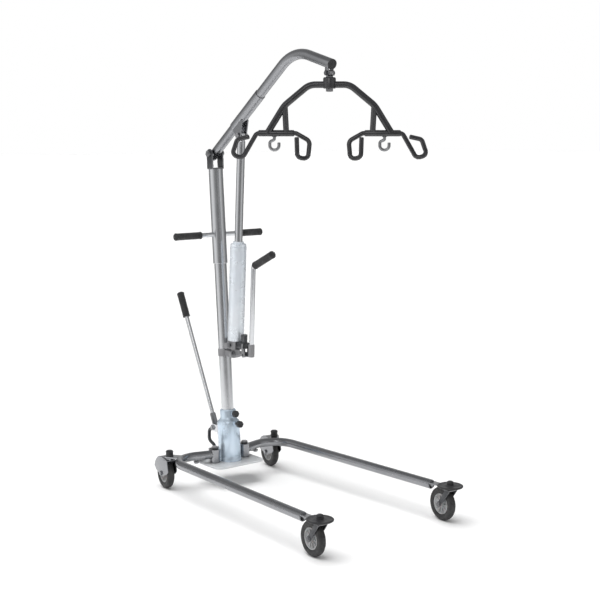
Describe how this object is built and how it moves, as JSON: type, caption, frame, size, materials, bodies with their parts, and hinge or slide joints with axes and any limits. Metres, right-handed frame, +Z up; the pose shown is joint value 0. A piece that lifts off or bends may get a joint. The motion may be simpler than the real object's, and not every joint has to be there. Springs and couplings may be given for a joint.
{
  "type": "patient lift hoist",
  "caption": "Wheeled hydraulic lift with spreading legs, leaning mast, pump-raised bent boom and a swivelling cradle with hooks for a patient sling.",
  "frame": {"origin": "on the floor, in the middle of the lift's outline seen from above", "axes": "+Z up, +X forwards towards the leg tips and the patient, +Y to the left of a caregiver behind the mast"},
  "size_m": [1.3734, 0.722, 1.7363],
  "materials": {
    "chrome": "polished",
    "pale_metal": "satin",
    "dark_metal": "satin",
    "zinc": "satin",
    "black_rubber": "matte",
    "black_plastic": "satin",
    "silver_paint": "gloss",
    "black_coating": "satin",
    "tyre": "matte",
    "pale_plastic": "satin"
  },
  "bodies": {
    "base": {"base_plate": "pale_metal", "mast_socket": "silver_paint", "leg_pivot_bolts": "dark_metal", "mast_lower_tube": "chrome", "mast_upper_tube": "chrome", "mast_clevis": "dark_metal", "boom_pivot_bolt": "zinc", "handlebar": "chrome", "handlebar_grip_left": "black_rubber", "handlebar_grip_right": "black_rubber", "pump_bracket": "dark_metal", "pump_pin": "zinc", "shifter_bracket": "chrome", "shifter_pin": "zinc"},
    "knob_upper": {"lock_knob_upper": "black_plastic"},
    "knob_lower": {"lock_knob_lower": "black_plastic"},
    "shifter": {"shifter_crank": "dark_metal", "shifter_rod": "chrome", "shifter_grip": "black_rubber"},
    "pump": {"pump_base": "dark_metal", "pump_cylinder": "silver_paint", "pump_gland": "silver_paint"},
    "ram": {"pump_piston_rod": "chrome"},
    "lever": {"pump_lever": "dark_metal", "pump_handle": "chrome", "pump_handle_grip": "black_rubber"},
    "plunger": {"pump_plunger": "chrome"},
    "valve": {"release_valve": "dark_metal"},
    "boom": {"boom_tube": "chrome", "boom_ram_bracket": "chrome", "ram_bolts": "dark_metal", "boom_end_cap": "black_plastic", "hanger_bolt": "dark_metal"},
    "hanger": {"hanger_swivel": "dark_metal", "swivel_nut": "dark_metal"},
    "cradle": {"cradle_frame": "black_coating", "sling_bar_left": "black_coating", "sling_bar_right": "black_coating"},
    "leg_left": {"leg_left": "chrome", "front_bumper_left": "black_plastic", "stem_caps_left": "black_plastic"},
    "link_left": {"spreader_link_left": "dark_metal"},
    "fork_front_left": {"caster_fork_front_left": "dark_metal"},
    "wheel_front_left": {"caster_tyre_front_left": "tyre", "caster_hub_front_left": "pale_plastic"},
    "fork_rear_left": {"caster_fork_rear_left": "chrome"},
    "wheel_rear_left": {"caster_tyre_rear_left": "tyre", "caster_hub_rear_left": "pale_plastic"},
    "leg_right": {"leg_right": "chrome", "front_bumper_right": "black_plastic", "stem_caps_right": "black_plastic"},
    "link_right": {"spreader_link_right": "dark_metal"},
    "fork_front_right": {"caster_fork_front_right": "dark_metal"},
    "wheel_front_right": {"caster_tyre_front_right": "tyre", "caster_hub_front_right": "pale_plastic"},
    "fork_rear_right": {"caster_fork_rear_right": "chrome"},
    "wheel_rear_right": {"caster_tyre_rear_right": "tyre", "caster_hub_rear_right": "pale_plastic"},
    "sling_hook_left": {"sling_hook_left": "zinc"},
    "sling_hook_right": {"sling_hook_right": "zinc"}
  },
  "joints": [
    {"name": "leg_left_spread", "type": "hinge", "parent": "base", "child": "leg_left", "pos_m": [-0.3173, 0.075, 0.12], "axis": [0, 0, 1], "range_deg": [0, 12]},
    {"name": "link_left_turn", "type": "hinge", "parent": "leg_left", "child": "link_left", "pos_m": [-0.3413, 0.15, 0.101], "axis": [0, 0, 1], "range_deg": [-16.13, 0]},
    {"name": "fork_front_left_swivel", "type": "hinge", "parent": "leg_left", "child": "fork_front_left", "pos_m": [0.6397, 0.313, 0.13], "axis": [0, 0, 1], "continuous": true},
    {"name": "wheel_front_left_roll", "type": "hinge", "parent": "fork_front_left", "child": "wheel_front_left", "pos_m": [0.59985, 0.31649, 0.0635], "axis": [0.0872, 0.9962, 0], "continuous": true},
    {"name": "fork_rear_left_swivel", "type": "hinge", "parent": "leg_left", "child": "fork_rear_left", "pos_m": [-0.3613, 0.266, 0.13], "axis": [0, 0, 1], "range_deg": [-135, 75]},
    {"name": "wheel_rear_left_roll", "type": "hinge", "parent": "fork_rear_left", "child": "wheel_rear_left", "pos_m": [-0.40081, 0.27226, 0.0635], "axis": [0.1564, 0.9877, 0], "continuous": true},
    {"name": "leg_right_spread", "type": "hinge", "parent": "base", "child": "leg_right", "pos_m": [-0.3173, -0.075, 0.12], "axis": [0, 0, -1], "range_deg": [0, 12]},
    {"name": "link_right_turn", "type": "hinge", "parent": "leg_right", "child": "link_right", "pos_m": [-0.3413, -0.15, 0.101], "axis": [0, 0, -1], "range_deg": [-16.13, 0]},
    {"name": "fork_front_right_swivel", "type": "hinge", "parent": "leg_right", "child": "fork_front_right", "pos_m": [0.6397, -0.313, 0.13], "axis": [0, 0, 1], "continuous": true},
    {"name": "wheel_front_right_roll", "type": "hinge", "parent": "fork_front_right", "child": "wheel_front_right", "pos_m": [0.59985, -0.30951, 0.0635], "axis": [0.0872, 0.9962, 0], "continuous": true},
    {"name": "fork_rear_right_swivel", "type": "hinge", "parent": "leg_right", "child": "fork_rear_right", "pos_m": [-0.3613, -0.266, 0.13], "axis": [0, 0, 1], "range_deg": [-60, 150]},
    {"name": "wheel_rear_right_roll", "type": "hinge", "parent": "fork_rear_right", "child": "wheel_rear_right", "pos_m": [-0.40081, -0.25974, 0.0635], "axis": [0.1564, 0.9877, 0], "continuous": true},
    {"name": "lock_knob_upper_turn", "type": "hinge", "parent": "base", "child": "knob_upper", "pos_m": [-0.32789, 0, 0.28726], "axis": [0.9974, 0, 0.0715], "continuous": true},
    {"name": "lock_knob_lower_turn", "type": "hinge", "parent": "base", "child": "knob_lower", "pos_m": [-0.32503, 0, 0.24737], "axis": [0.9974, 0, 0.0715], "continuous": true},
    {"name": "shifter_swing", "type": "hinge", "parent": "base", "child": "shifter", "pos_m": [-0.4133, 0, 0.211], "axis": [0, 1, 0], "range_deg": [0, 13.2]},
    {"name": "pump_tilt", "type": "hinge", "parent": "base", "child": "pump", "pos_m": [-0.2723, 0, 0.54], "axis": [0, 1, 0], "range_deg": [0, 1.31]},
    {"name": "ram_slide", "type": "slide", "parent": "pump", "child": "ram", "axis": [-0.0578, 0, -0.9983], "range_m": [0, 0.15063]},
    {"name": "pump_lever_swing", "type": "hinge", "parent": "pump", "child": "lever", "pos_m": [-0.1993, 0, 0.548], "axis": [0, 1, 0], "range_deg": [0, 45]},
    {"name": "plunger_slide", "type": "slide", "parent": "pump", "child": "plunger", "axis": [0.0578, 0, 0.9983], "range_m": [0, 0.01132]},
    {"name": "release_valve_turn", "type": "hinge", "parent": "pump", "child": "valve", "pos_m": [-0.26388, -0.03, 0.58158], "axis": [0, 1, 0], "range_deg": [0, 180]},
    {"name": "boom_lift", "type": "hinge", "parent": "base", "child": "boom", "pos_m": [-0.40382, 0, 1.34655], "axis": [0, 1, 0], "range_deg": [0, 45]},
    {"name": "hanger_swing", "type": "hinge", "parent": "boom", "child": "hanger", "pos_m": [0.3127, 0, 1.643], "axis": [0, 1, 0], "range_deg": [-45, 0]},
    {"name": "cradle_swivel", "type": "hinge", "parent": "hanger", "child": "cradle", "pos_m": [0.3127, 0, 1.608], "axis": [0, 0, 1], "continuous": true},
    {"name": "sling_hook_left_swivel", "type": "hinge", "parent": "cradle", "child": "sling_hook_left", "pos_m": [0.44519, 0.14714, 1.43], "axis": [0, 0, 1], "continuous": true},
    {"name": "sling_hook_right_swivel", "type": "hinge", "parent": "cradle", "child": "sling_hook_right", "pos_m": [0.18021, -0.14714, 1.43], "axis": [0, 0, 1], "continuous": true}
  ],
  "couplings": [
    {"joint": "leg_right_spread", "follows": "leg_left_spread", "ratio": 1},
    {"joint": "shifter_swing", "follows": "leg_left_spread", "ratio": 1.0999},
    {"joint": "link_left_turn", "follows": "leg_left_spread", "ratio": -1.344},
    {"joint": "link_right_turn", "follows": "leg_left_spread", "ratio": -1.344},
    {"joint": "pump_tilt", "follows": "boom_lift", "ratio": 0.02907},
    {"joint": "ram_slide", "follows": "boom_lift", "m_per_rad": 0.19178},
    {"joint": "hanger_swing", "follows": "boom_lift", "ratio": -1},
    {"joint": "plunger_slide", "follows": "pump_lever_swing", "m_per_rad": 0.0144}
  ]
}
